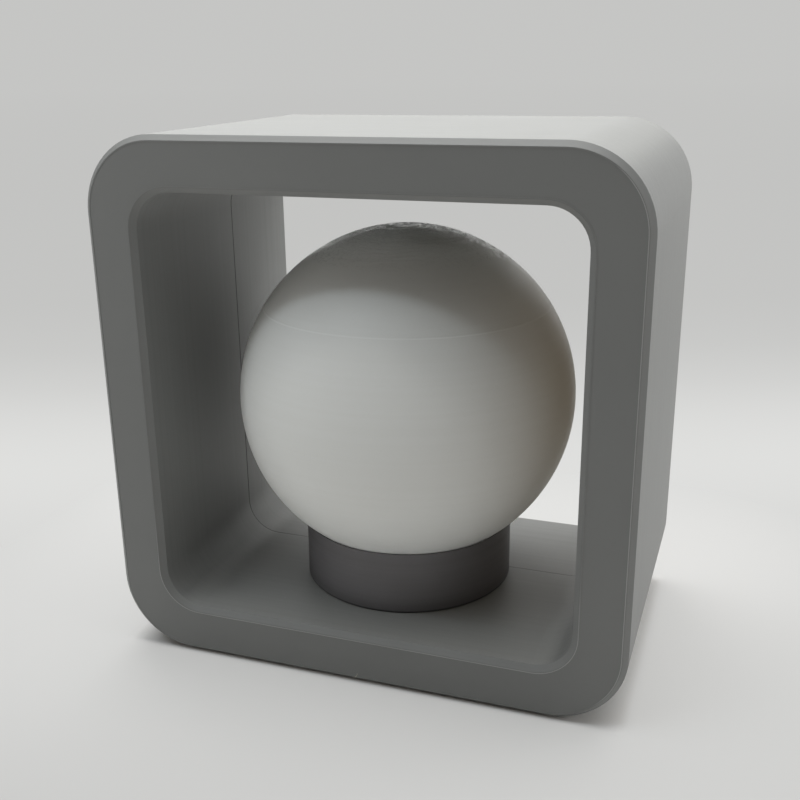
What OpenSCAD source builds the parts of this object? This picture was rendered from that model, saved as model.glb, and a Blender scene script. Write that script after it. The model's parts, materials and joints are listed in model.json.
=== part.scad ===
// Table lamp: an opal globe seated in a round collar, inside a square printed frame.
// The frame is two hollow shells. The lower bar holds the driver, the power inlet and the switch.
// X runs to the right, Y runs from the front to the back, and Z is up from the table.

/* [Globe] */
// Outer diameter of the opal globe
globe_d = 133.4; // [120:0.2:150]
// Wall thickness of the globe
globe_t = 1.6; // [1.2:0.1:2]
// Wall thickness of the neck under the globe
neck_t = 2.2; // [1.8:0.1:2.6]
// Depth that the neck reaches below the collar's rim
neck_drop = 12; // [8:0.5:13]

/* [Frame] */
// Width of the frame's bars, seen from the front
band = 19.6; // [19:0.1:26]
// Depth of the frame, from the front plate to the back plate
frame_d = 124; // [118:1:150]
// Free gap between the globe and each side of the window
side_gap = 13.7; // [8:0.1:30]
// Free gap above the globe, which lets it lift out of the collar
head_gap = 17.4; // [16:0.1:30]
// Radius of the frame's outer corners
corner_r = 28; // [26:0.5:34]
// Radius of the window's corners
window_r = 14; // [8:0.5:17]
// Chamfer along the frame's outer edges
edge_c = 1.9; // [0.6:0.1:2]
// Chamfer along the window's edges
window_c = 2; // [0.6:0.1:2.2]
// Thickness of the shells' walls
shell_t = 2.4; // [2.2:0.1:2.8]
// Thickness of the front plate and the back plate
plate_t = 3; // [2.6:0.1:4]
// Distance from the front face to the seam in the window
seam_d = 72.4; // [68:0.2:76]

/* [Collar] */
// Outer diameter of the collar
collar_d = 84.6; // [80:0.2:92]
// Height of the collar above the window's floor
collar_h = 25.1; // [23:0.1:32]
// Wall thickness of the collar
collar_t = 3; // [2.6:0.1:3.4]
// Thickness of the collar's floor
collar_floor_t = 3; // [2.4:0.1:4]
// Width of the step that the globe's neck stands on
step_w = 2.3; // [1.8:0.1:2.6]

/* [Light board] */
// Height of the posts under the heat spreader
post_h = 4; // [3:0.5:5]
// Thickness of the heat spreader
spreader_t = 2; // [1.5:0.1:2.5]
// Thickness of the thermal pad
pad_t = 0.5; // [0.3:0.1:0.8]
// Thickness of the light board
board_t = 1.6; // [1:0.2:1.8]
// Width of one light chip
chip_w = 5; // [3:0.5:5.5]
// Height of one light chip
chip_h = 1.6; // [0.8:0.1:2]
// Number of light chips in the outer ring
outer_chips = 12; // [8:4:12]
// Number of light chips in the inner ring
inner_chips = 6; // [6:6:6]

/* [Fasteners] */
// Thread diameter of the frame, collar and board screws
screw_d = 3; // [2.5:0.5:3.5]
// Length of the screws in the back plate
rear_screw_l = 12; // [10:1:14]
// Length of the screws under and in the collar
collar_screw_l = 8; // [6:0.5:9]
// Outer diameter of the brass threaded inserts
insert_d = 4.4; // [4.2:0.1:5]
// Length of the brass threaded inserts
insert_l = 5; // [4:0.5:6]

/* [Feet] */
// Diameter of the rubber feet
foot_d = 12; // [8:0.5:16]
// Thickness of the rubber feet
foot_t = 1.2; // [1:0.1:1.6]
// Height that the feet stand proud of the frame
foot_proud = 0.6; // [0.4:0.1:0.8]

/* [Power inlet] */
// Distance of the inlet from the frame's centre
inlet_x = 18; // [14:0.5:24]
// Diameter of the plug socket
socket_d = 5.6; // [5:0.1:5.8]
// Depth of the plug socket
socket_l = 9.5; // [8:0.5:11]
// Diameter of the socket's centre pin
pin_d = 2.1; // [1.6:0.1:2.5]
// Diameter of the inlet's threaded barrel
barrel_d = 7.8; // [7.4:0.1:8.4]
// Length of the inlet's barrel behind its flange
barrel_l = 14; // [12:0.5:16]
// Diameter of the inlet's flange
flange_d = 10.8; // [10:0.1:12]
// Thickness of the inlet's flange
flange_t = 1.8; // [1.2:0.1:2.2]

/* [Switch] */
// Distance of the switch from the frame's centre
switch_x = 18; // [16:0.5:24]
// Length of the switch's bezel
bezel_l = 15; // [14.6:0.1:17]
// Height of the switch's bezel
bezel_h = 10.5; // [10:0.1:11.5]
// Thickness of the switch's bezel
bezel_t = 1.6; // [1.2:0.1:2]
// Length of the switch's body
switch_l = 13.4; // [13.2:0.1:14]
// Height of the switch's body
switch_h = 8.8; // [8.4:0.1:9.4]
// Depth of the switch's body behind the back face
switch_body_d = 10; // [9:0.5:12]
// Angle of the rocker to each side of its middle
rocker_tilt = 8; // [4:1:9]

/* [Driver] */
// Width of the driver board
driver_w = 34; // [30:1:36]
// Length of the driver board
driver_l = 52; // [46:1:56]
// Thickness of the driver board
driver_t = 1.6; // [1:0.2:2]
// Diameter of the insulated leads
lead_d = 1.6; // [1:0.1:1.8]

/* [Hidden] */
$fn = 96;

// Overrun of every cut past the face that it leaves
over = 1;

// Clearances
seat_gap = 0.3;
neck_fit = 0.4;
shell_fit = 0.2;
lip_fit = 0.2;
seam_gap = 0.2;
insert_fit = 0.03;
thread_fit = 0.05;
hole_fit = 0.2;
panel_fit = 0.1;
pivot_fit = 0.05;
rocker_fit = 0.1;
pocket_fit = 0.1;

// Proportions of a pan head screw, as shares of its thread diameter
head_d_share = 1.87;
head_h_share = 0.6;
socket_d_share = 0.7;
socket_h_share = 0.35;

// Globe and collar
globe_r = globe_d / 2;
seat_r = globe_r + seat_gap;
collar_r = collar_d / 2;
bore_r = collar_r - collar_t;
neck_r = bore_r - neck_fit;
mouth_r = neck_r - neck_t;
step_r = bore_r - step_w;
step_z = collar_h - neck_drop;
globe_rise = collar_h + sqrt(pow(seat_r, 2) - pow(collar_r, 2));
collar_foot_c = 0.5;

// Frame
window_w = globe_d + 2 * side_gap;
window_h = globe_rise + globe_r + head_gap;
frame_w = window_w + 2 * band;
frame_h = window_h + 2 * band;
frame_z = foot_proud + frame_h / 2;
floor_z = foot_proud + band;
globe_z = floor_z + globe_rise;
hollow_w = frame_w - 2 * shell_t;
hollow_h = frame_h - 2 * shell_t;
hollow_r = corner_r - shell_t;
rear_d = frame_d - seam_d;
seam_y = seam_d - frame_d / 2;
seam_clear = 0.8;
under_z = floor_z - shell_t;
base_z = foot_proud + shell_t;
bead_w = 0.3;
bead_h = 0.12;
bead_inset = 0.15;
lip_t = 1.6;
lip_l = 5;
lip_root_l = 4;

// Screws
screw_r = screw_d / 2;
head_r = screw_d * head_d_share / 2;
head_h = screw_d * head_h_share;
insert_r = insert_d / 2;
boss_wall = 2;
boss_r = insert_r + boss_wall;
boss_edge = 6.5;
boss_l = rear_screw_l + boss_wall;
web_w = 3;
head_sink = 0.2;
rear_x = frame_w / 2 - corner_r + (hollow_r - boss_edge) * cos(45);
rear_y = frame_h / 2 - corner_r + (hollow_r - boss_edge) * sin(45);
collar_boss_h = 5;
collar_screw_reach = 21;
collar_head_gap = 0.5;
front_pair_y = min(-collar_screw_reach, seam_y - lip_l - boss_r - seam_clear);
rear_pair_y = max(collar_screw_reach, seam_y + boss_r + seam_clear);
insert_sink = 0.4;

// Feet
foot_r = foot_d / 2;
foot_edge = 0.3;
foot_inset_x = 5;
foot_inset_y = 8;
foot_x = frame_w / 2 - corner_r - foot_r - foot_inset_x;
foot_y = frame_d / 2 - foot_r - foot_inset_y;

// Opening for the leads, in front of the middle
lead_r = lead_d / 2;
lead_hole_r = 4;
lead_reach = 14.5;
grommet_wall = 1;
grommet_flange = 1.5;
grommet_flange_t = 1;
lead_y = min(-lead_reach, seam_y - lip_l - lead_hole_r - grommet_flange - seam_clear);

// Light board
spreader_gap = 1;
board_gap = 2;
pad_gap = 1;
post_inset = 4;
post_r = 4;
spreader_r = step_r - spreader_gap;
board_r = spreader_r - board_gap;
pad_r = board_r - pad_gap;
post_reach = board_r - post_inset;
spreader_z = floor_z + collar_floor_t + post_h;
pad_z = spreader_z + spreader_t;
board_z = pad_z + pad_t;
board_top = board_z + board_t;
outer_ring_share = 0.765;
inner_ring_share = 0.47;
outer_ring_r = board_r * outer_ring_share;
inner_ring_r = board_r * inner_ring_share;
resistor = [3.2, 1.6, 0.6];
resistors = 6;
resistor_ring_share = 0.62;
lens_r_share = 0.4;
lens_h_share = 0.2;
pin_pitch = 2.5;
connector = [7, 5, 4.5];
connector_gap = 4;

// Driver
driver_x = -46;
driver_y = -8;
driver_post_h = 3;
driver_screw_d = 2.5;
driver_inset = 3.5;
driver_z = base_z + driver_post_h;
driver_top = driver_z + driver_t;
driver_post_r = 2.6;
driver_screw_l = 5;
coil = [10, 10, 1.2];
coil_d = 9.4;
coil_h = 4.2;
capacitor_d = 6.3;
capacitor_h = 6.5;
capacitor_gap = 2;
capacitor_foot = [6.6, 6.6, 0.8];
driver_chip_size = [4, 5, 1.5];
header = [7.5, 6, 6];
coil_inset = 4;
capacitor_inset = 9;
chip_inset = 6;
coil_y = driver_y - coil_inset;
capacitor_y = driver_y - driver_l / 2 + capacitor_inset;
chip_y = driver_y + chip_inset;

// Power inlet
panel_z = foot_proud + band / 2;
barrel_r = barrel_d / 2;
flange_r = flange_d / 2;
nut_r = 5.7;
nut_t = 2;
pin_recess = 1.2;
pin_tag_l = 3;
tag = [2, 0.5, 4];
tag_reach = 2.6;

// Switch
pivot_r = 1;
pivot_depth = 2.2;
cavity_l = 11.9;
cavity_h = 6.6;
cavity_d = 6;
pivot_z = bezel_t - pivot_depth;
rocker_l = 10.8;
rocker_end_h = 3.4;
rocker_mid_h = 2.6;
rocker_skirt = 0.6;
rocker_keel = 2.6;
rocker_keel_l = 4;
trunnion_reach = 0.8;
blade = [2.8, 0.5, 5];
blade_x = 3.5;
clip_l = 2.4;
clip_out = 0.8;
clip_w = 4;

// Leads
tube_sides = 8;
bend_steps = 4;
lead_bend = 5;
bend_share = 0.45;
lead_drop = 2;
lead_stub = 3;
solder_gap = 0.1;
supply_y = frame_d / 2 - barrel_l - pin_tag_l - lead_bend;
tube_ref = [0.37, 0.61, 0.7];

frame_colour = [0.47, 0.49, 0.47];
collar_colour = [0.3, 0.3, 0.3];
steel_colour = [0.7, 0.7, 0.72];
brass_colour = [0.8, 0.62, 0.28];
rubber_colour = [0.1, 0.1, 0.1];
black_colour = [0.06, 0.06, 0.06];
green_colour = [0.08, 0.32, 0.16];

// Rounded outline, width by height
module outline(w, h, r) {
    square([w - 2 * r, h], center = true);
    square([w, h - 2 * r], center = true);
    for (sx = [-1, 1], sy = [-1, 1])
        translate([sx * (w / 2 - r), sy * (h / 2 - r)])
            circle(r);
}

module slab(w, h, r, d) {
    linear_extrude(d)
        outline(w, h, r);
}

// What a chamfer of width c takes off the top edge of a block, at height 0
module edge_cut(w, h, r, c) {
    wedge = [[-c - over, over], [over, over], [over, -c - over]];
    for (side = [[0, w, h], [90, h, w], [180, w, h], [270, h, w]])
        rotate([0, 0, side[0]])
            translate([side[1] / 2, side[2] / 2 + over, 0])
                rotate([90, 0, 0])
                    linear_extrude(side[2] + 2 * over)
                        polygon(wedge);
    for (sx = [-1, 1], sy = [-1, 1])
        translate([sx * (w / 2 - r), sy * (h / 2 - r), 0])
            rotate([0, 0, atan2(sy, sx) - 45])
                rotate_extrude(angle = 90)
                    translate([r, 0])
                        polygon(wedge);
}

// Block with a chamfer round both ends
module casing(w, h, r, d, c) {
    difference() {
        slab(w, h, r, d);
        translate([0, 0, d])
            edge_cut(w, h, r, c);
        mirror([0, 0, 1])
            edge_cut(w, h, r, c);
    }
}

// Space of the window's chamfer, which ends at height 0 and runs past it
module window_flare() {
    grow = window_c + over;
    w = window_w + 2 * grow;
    h = window_h + 2 * grow;
    translate([0, 0, -window_c])
        difference() {
            slab(w, h, window_r + grow, grow);
            mirror([0, 0, 1])
                edge_cut(w, h, window_r + grow, grow);
        }
}

// Places what is drawn flat, with its height measured forward from the back face
module in_frame() {
    translate([0, frame_d / 2, frame_z])
        rotate([90, 0, 0])
            children();
}

// Places what is drawn pointing up so that it points out of the back face
module at_panel(x) {
    translate([x, frame_d / 2, panel_z])
        rotate([-90, 0, 0])
            children();
}

module at_rear_screws() {
    for (sx = [-1, 1], sy = [-1, 1])
        translate([sx * rear_x, sy * rear_y, 0])
            children();
}

// side is -1 for the pair in the front shell and 1 for the pair in the rear shell
module at_collar_screws(side) {
    y = side > 0 ? rear_pair_y : front_pair_y;
    x = min(collar_screw_reach, sqrt(pow(step_r - head_r - collar_head_gap, 2) - pow(y, 2)));
    for (sx = [-1, 1])
        translate([sx * x, y, floor_z])
            children();
}

module at_posts() {
    for (a = [0:90:270])
        rotate([0, 0, a])
            translate([post_reach, 0, 0])
                children();
}

module at_driver_screws() {
    for (sx = [-1, 1], sy = [-1, 1])
        translate([driver_x + sx * (driver_w / 2 - driver_inset), driver_y + sy * (driver_l / 2 - driver_inset), 0])
            children();
}

module at_feet() {
    for (sx = [-1, 1], sy = [-1, 1])
        translate([sx * foot_x, sy * foot_y, 0])
            children();
}

// Pan head screw, its head standing on height 0
module pan_screw(d, l) {
    socket_h = d * socket_h_share;
    head = d * head_h_share;
    difference() {
        union() {
            cylinder(h = head, d = d * head_d_share);
            translate([0, 0, -l])
                cylinder(h = l, d = d);
        }
        translate([0, 0, head - socket_h])
            cylinder(h = socket_h + over, d = d * socket_d_share, $fn = 6);
    }
}

// Threaded insert, its top at height 0
module insert() {
    translate([0, 0, -insert_l])
        difference() {
            cylinder(h = insert_l, r = insert_r);
            translate([0, 0, -over])
                cylinder(h = insert_l + 2 * over, r = screw_r + thread_fit);
        }
}

// Boss that hangs under the window's floor and takes an insert
module collar_boss() {
    translate([0, 0, -shell_t - collar_boss_h])
        cylinder(h = collar_boss_h + shell_t / 2, r = boss_r);
}

module collar_boss_hole() {
    translate([0, 0, -insert_sink - insert_l])
        cylinder(h = insert_sink + insert_l + over, r = insert_r + insert_fit);
    translate([0, 0, -shell_t - collar_boss_h - over])
        cylinder(h = collar_boss_h, r = screw_r + hole_fit);
}

module front_shell() {
    difference() {
        casing(frame_w, frame_h, corner_r, frame_d, edge_c);
        translate([0, 0, -over])
            slab(hollow_w, hollow_h, hollow_r, rear_d + over);
        translate([0, 0, rear_d - over])
            difference() {
                slab(hollow_w, hollow_h, hollow_r, seam_d - plate_t + over);
                slab(window_w + 2 * shell_t, window_h + 2 * shell_t, window_r + shell_t, seam_d);
            }
    }
    front_beads();
    at_rear_screws()
        translate([0, 0, plate_t])
            cylinder(h = boss_l, r = boss_r);
    for (sx = [-1, 1], sy = [-1, 1])
        translate([sx * (frame_w / 2 - corner_r), sy * (frame_h / 2 - corner_r), plate_t])
            rotate([0, 0, atan2(sy, sx)])
                translate([hollow_r - boss_edge, -web_w / 2, 0])
                    cube([boss_edge + shell_t / 2, web_w, boss_l]);
}

// Fine raised beads along both edges of the front face
module front_beads() {
    back = edge_c + bead_inset;
    face_w = frame_w - 2 * back;
    face_h = frame_h - 2 * back;
    face_r = corner_r - back;
    rim = window_c + bead_inset;
    rim_w = window_w + 2 * rim;
    rim_h = window_h + 2 * rim;
    rim_r = window_r + rim;
    translate([0, 0, frame_d - over])
        linear_extrude(over + bead_h) {
            difference() {
                outline(face_w, face_h, face_r);
                outline(face_w - 2 * bead_w, face_h - 2 * bead_w, face_r - bead_w);
            }
            difference() {
                outline(rim_w + 2 * bead_w, rim_h + 2 * bead_w, rim_r + bead_w);
                outline(rim_w, rim_h, rim_r);
            }
        }
}

module front_frame() {
    color(frame_colour)
        difference() {
            union() {
                in_frame()
                    difference() {
                        front_shell();
                        translate([0, 0, -over])
                            slab(window_w, window_h, window_r, frame_d + 2 * over);
                        translate([0, 0, frame_d])
                            window_flare();
                        at_rear_screws() {
                            translate([0, 0, plate_t - over])
                                cylinder(h = insert_l + over, r = insert_r + insert_fit);
                            translate([0, 0, plate_t])
                                cylinder(h = rear_screw_l, r = screw_r + hole_fit);
                        }
                    }
                at_collar_screws(-1)
                    collar_boss();
                at_driver_screws()
                    translate([0, 0, foot_proud + shell_t / 2])
                        cylinder(h = driver_post_h + shell_t / 2, r = driver_post_r);
            }
            at_collar_screws(-1)
                collar_boss_hole();
            at_driver_screws()
                translate([0, 0, driver_z + driver_t - driver_screw_l])
                    cylinder(h = driver_screw_l, d = driver_screw_d + 2 * thread_fit);
            translate([0, lead_y, under_z - over])
                cylinder(h = shell_t + 2 * over, r = lead_hole_r);
            at_feet()
                cylinder(h = foot_t, r = foot_r + pocket_fit);
        }
}

module rear_frame() {
    lip_grow = shell_t + lip_fit;
    lip_out = lip_grow + lip_t;
    color(frame_colour)
        difference() {
            union() {
                in_frame()
                    difference() {
                        union() {
                            slab(hollow_w - 2 * shell_fit, hollow_h - 2 * shell_fit, hollow_r - shell_fit, plate_t);
                            slab(window_w + 2 * shell_t, window_h + 2 * shell_t, window_r + shell_t, rear_d - seam_gap);
                            translate([0, 0, rear_d - lip_root_l])
                                slab(window_w + 2 * lip_out, window_h + 2 * lip_out, window_r + lip_out,
                                    lip_root_l + lip_l);
                        }
                        translate([0, 0, rear_d - seam_gap])
                            slab(window_w + 2 * lip_grow, window_h + 2 * lip_grow, window_r + lip_grow, lip_l + over);
                        translate([0, 0, -over])
                            slab(window_w, window_h, window_r, rear_d + 2 * over);
                        mirror([0, 0, 1])
                            window_flare();
                        at_rear_screws() {
                            translate([0, 0, -over])
                                cylinder(h = plate_t + 2 * over, r = screw_r + hole_fit);
                            translate([0, 0, -over])
                                cylinder(h = head_h + head_sink + over, r = head_r + hole_fit);
                        }
                    }
                at_collar_screws(1)
                    collar_boss();
            }
            at_collar_screws(1)
                collar_boss_hole();
            at_panel(inlet_x)
                translate([0, 0, -plate_t - over])
                    cylinder(h = plate_t + 2 * over, r = barrel_r + panel_fit);
            at_panel(-switch_x)
                translate([0, 0, -plate_t / 2])
                    cube([switch_l + 2 * panel_fit, switch_h + 2 * panel_fit, plate_t + 2 * over], center = true);
        }
}

module rear_screws() {
    color(steel_colour)
        in_frame()
            at_rear_screws()
                translate([0, 0, head_h + head_sink])
                    rotate([180, 0, 0])
                        pan_screw(screw_d, rear_screw_l);
}

module frame_inserts() {
    color(brass_colour)
        in_frame()
            at_rear_screws()
                translate([0, 0, plate_t + insert_l])
                    insert();
}

module feet() {
    color(rubber_colour)
        at_feet() {
            cylinder(h = foot_edge, r1 = foot_r - foot_edge, r2 = foot_r);
            translate([0, 0, foot_edge])
                cylinder(h = foot_t - foot_edge, r = foot_r);
        }
}

module lamp_collar() {
    color(collar_colour)
        difference() {
            union() {
                translate([0, 0, floor_z])
                    rotate_extrude()
                        difference() {
                            polygon([
                                [0, 0], [collar_r - collar_foot_c, 0], [collar_r, collar_foot_c],
                                [collar_r, collar_h], [0, collar_h]
                            ]);
                            translate([0, collar_floor_t])
                                square([step_r, collar_h]);
                            translate([0, step_z])
                                square([bore_r, collar_h]);
                            translate([0, globe_rise])
                                circle(seat_r);
                        }
                at_posts()
                    translate([0, 0, floor_z + collar_floor_t / 2])
                        cylinder(h = post_h + collar_floor_t / 2, r = post_r);
            }
            at_posts()
                translate([0, 0, board_top - collar_screw_l])
                    cylinder(h = collar_screw_l, r = screw_r + thread_fit);
            for (side = [-1, 1])
                at_collar_screws(side)
                    translate([0, 0, -over])
                        cylinder(h = collar_floor_t + 2 * over, r = screw_r + hole_fit);
            translate([0, lead_y, floor_z - over])
                cylinder(h = collar_floor_t + 2 * over, r = lead_hole_r);
        }
}

module collar_screws() {
    color(steel_colour)
        for (side = [-1, 1])
            at_collar_screws(side)
                translate([0, 0, collar_floor_t])
                    pan_screw(screw_d, collar_screw_l);
}

module collar_inserts() {
    color(brass_colour)
        for (side = [-1, 1])
            at_collar_screws(side)
                translate([0, 0, -insert_sink])
                    insert();
}

// Rubber ring through both floors, with a flange above and below
module lead_grommet() {
    length = shell_t + collar_floor_t;
    color(rubber_colour)
        translate([0, lead_y, under_z])
            difference() {
                union() {
                    translate([0, 0, -grommet_flange_t])
                        cylinder(h = length + 2 * grommet_flange_t, r = lead_hole_r - insert_fit);
                    translate([0, 0, -grommet_flange_t])
                        cylinder(h = grommet_flange_t, r = lead_hole_r + grommet_flange);
                    translate([0, 0, length])
                        cylinder(h = grommet_flange_t, r = lead_hole_r + grommet_flange);
                }
                translate([0, 0, -grommet_flange_t - over])
                    cylinder(h = length + 2 * grommet_flange_t + 2 * over, r = lead_hole_r - grommet_wall);
            }
}

// Disc with holes for its screws and the leads
module drilled_disc(r, t, lead_hole) {
    difference() {
        cylinder(h = t, r = r);
        at_posts()
            translate([0, 0, -over])
                cylinder(h = t + 2 * over, r = screw_r + hole_fit);
        translate([0, lead_y, -over])
            cylinder(h = t + 2 * over, r = lead_hole);
    }
}

module heat_spreader() {
    color([0.75, 0.76, 0.78])
        translate([0, 0, spreader_z])
            drilled_disc(spreader_r, spreader_t, lead_hole_r);
}

module thermal_pad() {
    color([0.55, 0.62, 0.7])
        translate([0, 0, pad_z])
            drilled_disc(pad_r, pad_t, lead_hole_r);
}

module led_board() {
    color([0.93, 0.93, 0.9])
        translate([0, 0, board_z])
            drilled_disc(board_r, board_t, lead_hole_r - grommet_wall);
}

module chip_ring(r, n, start) {
    for (i = [0:n - 1])
        rotate([0, 0, start + i * 360 / n])
            translate([r, 0, board_top]) {
                translate([-chip_w / 2, -chip_w / 2, 0])
                    cube([chip_w, chip_w, chip_h * (1 - lens_h_share)]);
                cylinder(h = chip_h, r = chip_w * lens_r_share);
            }
}

module led_chips() {
    color([0.95, 0.85, 0.4]) {
        chip_ring(outer_ring_r, outer_chips, 180 / outer_chips);
        chip_ring(inner_ring_r, inner_chips, 0);
    }
}

module board_resistors() {
    color(black_colour)
        for (i = [0:resistors - 1])
            rotate([0, 0, (i + 1 / 2) * 360 / resistors])
                translate([board_r * resistor_ring_share, 0, board_top + resistor.z / 2])
                    cube(resistor, center = true);
}

module board_connector() {
    color([0.9, 0.88, 0.8])
        translate([-connector.x / 2, lead_y + connector_gap, board_top])
            cube(connector);
}

module board_screws() {
    color(steel_colour)
        at_posts()
            translate([0, 0, board_top])
                pan_screw(screw_d, collar_screw_l);
}

module driver_board() {
    color(green_colour)
        difference() {
            translate([driver_x - driver_w / 2, driver_y - driver_l / 2, driver_z])
                cube([driver_w, driver_l, driver_t]);
            at_driver_screws()
                translate([0, 0, driver_z - over])
                    cylinder(h = driver_t + 2 * over, d = driver_screw_d + 2 * hole_fit);
        }
}

module driver_coil() {
    color([0.2, 0.2, 0.22])
        translate([driver_x, coil_y, driver_top]) {
            translate([-coil.x / 2, -coil.y / 2, 0])
                cube(coil);
            translate([0, 0, coil.z])
                cylinder(h = coil_h - coil.z, d = coil_d);
        }
}

module driver_capacitors() {
    color([0.72, 0.73, 0.75])
        for (side = [-1, 1])
            translate([driver_x + side * (capacitor_d + capacitor_gap) / 2, capacitor_y, driver_top]) {
                translate([-capacitor_foot.x / 2, -capacitor_foot.y / 2, 0])
                    cube(capacitor_foot);
                cylinder(h = capacitor_h, d = capacitor_d);
            }
}

module driver_chip() {
    color(black_colour)
        translate([driver_x - driver_chip_size.x / 2, chip_y - driver_chip_size.y / 2, driver_top])
            cube(driver_chip_size);
}

// Plug-in headers: the supply enters at the back edge, and the lamp leads leave at the right edge
module driver_headers() {
    color([0.9, 0.88, 0.8]) {
        translate([driver_x - header.x / 2, driver_y + driver_l / 2 - header.y, driver_top])
            cube(header);
        translate([driver_x + driver_w / 2 - header.y, lead_y - header.x / 2, driver_top])
            cube([header.y, header.x, header.z]);
    }
}

module driver_screws() {
    color(steel_colour)
        at_driver_screws()
            translate([0, 0, driver_top])
                pan_screw(driver_screw_d, driver_screw_l);
}

module inlet_body() {
    color(black_colour)
        at_panel(inlet_x)
            difference() {
                union() {
                    cylinder(h = flange_t, r = flange_r);
                    translate([0, 0, -barrel_l])
                        cylinder(h = barrel_l, r = barrel_r);
                }
                translate([0, 0, flange_t - socket_l])
                    cylinder(h = socket_l + over, d = socket_d);
                translate([0, 0, -barrel_l - over])
                    cylinder(h = barrel_l, d = pin_d + 2 * insert_fit);
            }
}

module inlet_pin() {
    color(steel_colour)
        at_panel(inlet_x)
            translate([0, 0, -barrel_l - pin_tag_l])
                cylinder(h = barrel_l + pin_tag_l + flange_t - pin_recess, d = pin_d);
}

module inlet_nut() {
    color(steel_colour)
        at_panel(inlet_x)
            translate([0, 0, -plate_t - nut_t])
                difference() {
                    cylinder(h = nut_t, r = nut_r, $fn = 6);
                    translate([0, 0, -over])
                        cylinder(h = nut_t + 2 * over, r = barrel_r + insert_fit);
                }
}

// Solder tag of the socket's outer contact
module inlet_tag() {
    color(brass_colour)
        at_panel(inlet_x)
            translate([tag_reach - tag.x / 2, -tag.y / 2, -barrel_l - tag.z])
                cube(tag);
}

module switch_housing() {
    color(black_colour)
        at_panel(-switch_x)
            difference() {
                union() {
                    translate([-bezel_l / 2, -bezel_h / 2, 0])
                        cube([bezel_l, bezel_h, bezel_t]);
                    translate([-switch_l / 2, -switch_h / 2, -switch_body_d])
                        cube([switch_l, switch_h, switch_body_d]);
                    for (side = [0, 180])
                        rotate([0, 0, side])
                            translate([switch_l / 2, clip_w / 2, -plate_t - panel_fit])
                                rotate([90, 0, 0])
                                    linear_extrude(clip_w)
                                        polygon([[0, 0], [clip_out, 0], [0, -clip_l]]);
                }
                translate([-cavity_l / 2, -cavity_h / 2, bezel_t - cavity_d])
                    cube([cavity_l, cavity_h, cavity_d + over]);
                translate([0, 0, pivot_z])
                    rotate([90, 0, 0])
                        cylinder(h = switch_h, r = pivot_r + pivot_fit, center = true);
            }
}

// Rocker, resting with one end pressed in
module switch_rocker() {
    half_l = rocker_l / 2;
    half_keel = rocker_keel_l / 2;
    width = cavity_h - 2 * rocker_fit;
    color(black_colour)
        at_panel(-switch_x)
            translate([0, 0, pivot_z])
                rotate([0, rocker_tilt, 0])
                    rotate([90, 0, 0]) {
                        linear_extrude(width, center = true)
                            polygon([
                                [-half_l, rocker_end_h], [-half_l, -rocker_skirt], [-half_keel, -rocker_keel],
                                [half_keel, -rocker_keel], [half_l, -rocker_skirt], [half_l, rocker_end_h],
                                [0, rocker_mid_h]
                            ]);
                        cylinder(h = cavity_h + 2 * trunnion_reach, r = pivot_r, center = true);
                    }
}

module switch_blades() {
    color(brass_colour)
        at_panel(-switch_x)
            for (side = [-1, 1])
                translate([side * blade_x - blade.x / 2, -blade.y / 2, -switch_body_d - blade.z])
                    cube(blade);
}

// Opal globe with its open neck, as one turned outline
module globe() {
    neck_low = step_z;
    color([0.93, 0.93, 0.91])
        translate([0, 0, floor_z])
            rotate_extrude()
                difference() {
                    union() {
                        translate([0, globe_rise])
                            circle(globe_r);
                        translate([0, neck_low])
                            square([neck_r, globe_rise - neck_low]);
                    }
                    translate([0, globe_rise])
                        circle(globe_r - globe_t);
                    translate([0, neck_low - globe_r])
                        square([mouth_r, globe_rise + globe_r - neck_low]);
                    translate([-2 * globe_r, 0])
                        square([2 * globe_r, 2 * globe_rise]);
                }
}

function unit(v) = v / norm(v);

// Point on the line from a towards b, where a bend starts
function toward(a, b) = a + unit(b - a) * min(lead_bend, norm(b - a) * bend_share);

function curve(a, b, c, t) = a * pow(1 - t, 2) + b * 2 * t * (1 - t) + c * pow(t, 2);

// Route whose corners are rounded
function bent(p) = [
    p[0],
    for (i = [1:len(p) - 2])
        for (k = [0:bend_steps])
            curve(toward(p[i], p[i - 1]), p[i], toward(p[i], p[i + 1]), k / bend_steps),
    p[len(p) - 1]
];

function heading(p, i) = unit(p[min(i + 1, len(p) - 1)] - p[max(i - 1, 0)]);

// Round tube swept along a route
module tube(p, r) {
    n = tube_sides;
    last = len(p) - 1;
    points = [
        for (i = [0:last])
            let (t = heading(p, i), u = unit(cross(t, tube_ref)), v = cross(t, u))
                for (k = [0:n - 1])
                    p[i] + r * (u * cos(k * 360 / n) + v * sin(k * 360 / n))
    ];
    walls = [
        for (i = [0:last - 1])
            for (k = [0:n - 1])
                let (a = i * n + k, b = i * n + (k + 1) % n)
                    for (f = [[a, b, a + n], [b, b + n, a + n]])
                        f
    ];
    caps = [
        for (k = [1:n - 2])
            for (f = [[0, k + 1, k], [last * n, last * n + k, last * n + k + 1]])
                f
    ];
    polyhedron(points = points, faces = [for (f = concat(walls, caps)) [f[2], f[1], f[0]]], convexity = 4);
}

// Lamp lead of one pole, from the driver up through the grommet to the board's connector.
// The red one runs lower and passes under the black one.
module lamp_lead(side) {
    x = side * pin_pitch / 2;
    y = lead_y + side * pin_pitch / 2;
    edge_x = driver_x + driver_w / 2;
    start_z = driver_top + header.z / 2;
    low = start_z - (side > 0 ? 2 * lead_drop : lead_drop);
    high = board_top + connector.z / 2;
    tube(bent([
        [edge_x + solder_gap, y, start_z],
        [edge_x + lead_stub, y, start_z],
        [edge_x / 2, y, low],
        [x, lead_y, low],
        [x, lead_y, high],
        [x, lead_y + connector_gap - solder_gap, high]
    ]), lead_r);
}

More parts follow.
